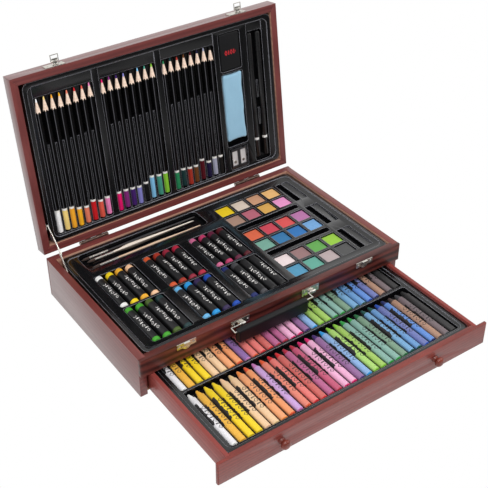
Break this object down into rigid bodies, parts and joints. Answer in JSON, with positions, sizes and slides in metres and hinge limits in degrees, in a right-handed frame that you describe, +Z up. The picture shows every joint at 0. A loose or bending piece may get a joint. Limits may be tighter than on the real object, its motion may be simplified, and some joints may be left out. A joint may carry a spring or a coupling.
{
  "type": "wooden art set case",
  "caption": "Flat wooden art-set case with a hinged lid of pencils, a tray of pastels and paint cakes, and a pull-out crayon drawer.",
  "frame": {"origin": "centre of the case's underside, drawer and lid left out", "axes": "+X to the case's right, +Y to its back, +Z up; the drawer pulls out along -Y"},
  "size_m": [0.3896, 0.4575, 0.3102],
  "materials": {
    "stained_wood": "stained dark red-brown, satin lacquer",
    "plain_ply": "thin plywood, unfinished",
    "black_tray": "formed sheet, satin black",
    "bright_steel": "bright plated steel",
    "crayon_wax": "paper-wrapped wax, many colours",
    "pastel_wax": "black paper sleeve on coloured pastel",
    "paint_cake": "pressed paint, matt, many colours",
    "pencil_lacquer": "black lacquered wood",
    "brush_wood": "plain lacquered wood",
    "ferrule_metal": "bright",
    "bristle": "fine brown hair",
    "eraser_rubber": "matt black",
    "sponge_foam": "light blue foam",
    "sharpener_metal": "cast, bright",
    "handle_black": "black, leather-like, satin"
  },
  "bodies": {
    "case": {"case_left_side": "stained_wood", "case_right_side": "stained_wood", "case_back": "stained_wood", "front_rail": "stained_wood", "case_bottom": "plain_ply", "case_shelf": "plain_ply", "upper_tray": "black_tray", "pastels_front_row": "pastel_wax", "pastels_back_row": "pastel_wax", "paint_cakes_back": "paint_cake", "paint_cakes_middle": "paint_cake", "paint_cakes_front": "paint_cake", "brush_handles": "brush_wood", "brush_ferrules": "ferrule_metal", "brush_bristles": "bristle", "hinge_case_leaves": "bright_steel", "hinge_pins": "bright_steel", "catch_left": "bright_steel", "catch_right": "bright_steel", "handle_mounts": "bright_steel", "case_screws": "bright_steel", "stay_case_bracket": "bright_steel"},
    "lid": {"lid_panel": "stained_wood", "lid_front_rail": "stained_wood", "lid_back_rail": "stained_wood", "lid_left_rail": "stained_wood", "lid_right_rail": "stained_wood", "lid_tray": "black_tray", "pencils_left": "pencil_lacquer", "pencils_middle": "pencil_lacquer", "pencils_right": "pencil_lacquer", "drawing_pencils": "pencil_lacquer", "eraser": "eraser_rubber", "sponge": "sponge_foam", "sharpener": "sharpener_metal", "sharpener_blades": "bright_steel", "sharpener_screws": "bright_steel", "hinge_lid_leaves": "bright_steel", "latch_left_plate": "bright_steel", "latch_right_plate": "bright_steel", "lid_screws": "bright_steel", "stay_lid_bracket": "bright_steel"},
    "drawer": {"drawer_front": "stained_wood", "drawer_left_side": "stained_wood", "drawer_right_side": "stained_wood", "drawer_back": "stained_wood", "drawer_bottom": "plain_ply", "drawer_tray": "black_tray", "crayons_front_row": "crayon_wax", "crayons_back_row": "crayon_wax", "drawer_knobs": "stained_wood"},
    "handle": {"handle_grip": "handle_black", "handle_wires": "bright_steel"},
    "left_lever": {"latch_left_lever": "bright_steel"},
    "left_loop": {"latch_left_loop": "bright_steel"},
    "right_lever": {"latch_right_lever": "bright_steel"},
    "right_loop": {"latch_right_loop": "bright_steel"},
    "lower_link": {"stay_lower_link": "bright_steel"},
    "upper_link": {"stay_upper_link": "bright_steel"}
  },
  "joints": [
    {"name": "lid_hinge", "type": "hinge", "parent": "case", "child": "lid", "pos_m": [0, 0.12155, 0.0576], "axis": [1, 0, 0], "range_deg": [0, 98]},
    {"name": "drawer_slide", "type": "slide", "parent": "case", "child": "drawer", "axis": [0, -1, 0], "range_m": [-0.154, 0.03]},
    {"name": "handle_swing", "type": "hinge", "parent": "case", "child": "handle", "pos_m": [0, -0.12305, 0.05], "axis": [-1, 0, 0], "range_deg": [0, 90]},
    {"name": "left_latch_lever", "type": "hinge", "parent": "lid", "child": "left_lever", "pos_m": [-0.1335, 0.15732, 0.29776], "axis": [1, 0, 0], "range_deg": [-88, 30]},
    {"name": "left_latch_loop", "type": "hinge", "parent": "left_lever", "child": "left_loop", "pos_m": [-0.1335, 0.15788, 0.30172], "axis": [1, 0, 0], "range_deg": [-60.69, 178.01]},
    {"name": "right_latch_lever", "type": "hinge", "parent": "lid", "child": "right_lever", "pos_m": [0.1335, 0.15732, 0.29776], "axis": [1, 0, 0], "range_deg": [-88, 30]},
    {"name": "right_latch_loop", "type": "hinge", "parent": "right_lever", "child": "right_loop", "pos_m": [0.1335, 0.15788, 0.30172], "axis": [1, 0, 0], "range_deg": [-60.69, 178.01]},
    {"name": "stay_lower_turn", "type": "hinge", "parent": "case", "child": "lower_link", "pos_m": [-0.18435, 0.07605, 0.0445], "axis": [1, 0, 0], "range_deg": [0, 118.15]},
    {"name": "stay_upper_turn", "type": "hinge", "parent": "lid", "child": "upper_link", "pos_m": [-0.18435, 0.13041, 0.09624], "axis": [1, 0, 0], "range_deg": [-118.77, 0]}
  ],
  "couplings": [
    {"joint": "left_latch_loop", "follows": "left_latch_lever", "ratio": -2.0227},
    {"joint": "right_latch_loop", "follows": "right_latch_lever", "ratio": -2.0227},
    {"joint": "stay_lower_turn", "follows": "lid_hinge", "ratio": 1.2055},
    {"joint": "stay_upper_turn", "follows": "lid_hinge", "ratio": -1.2119}
  ]
}
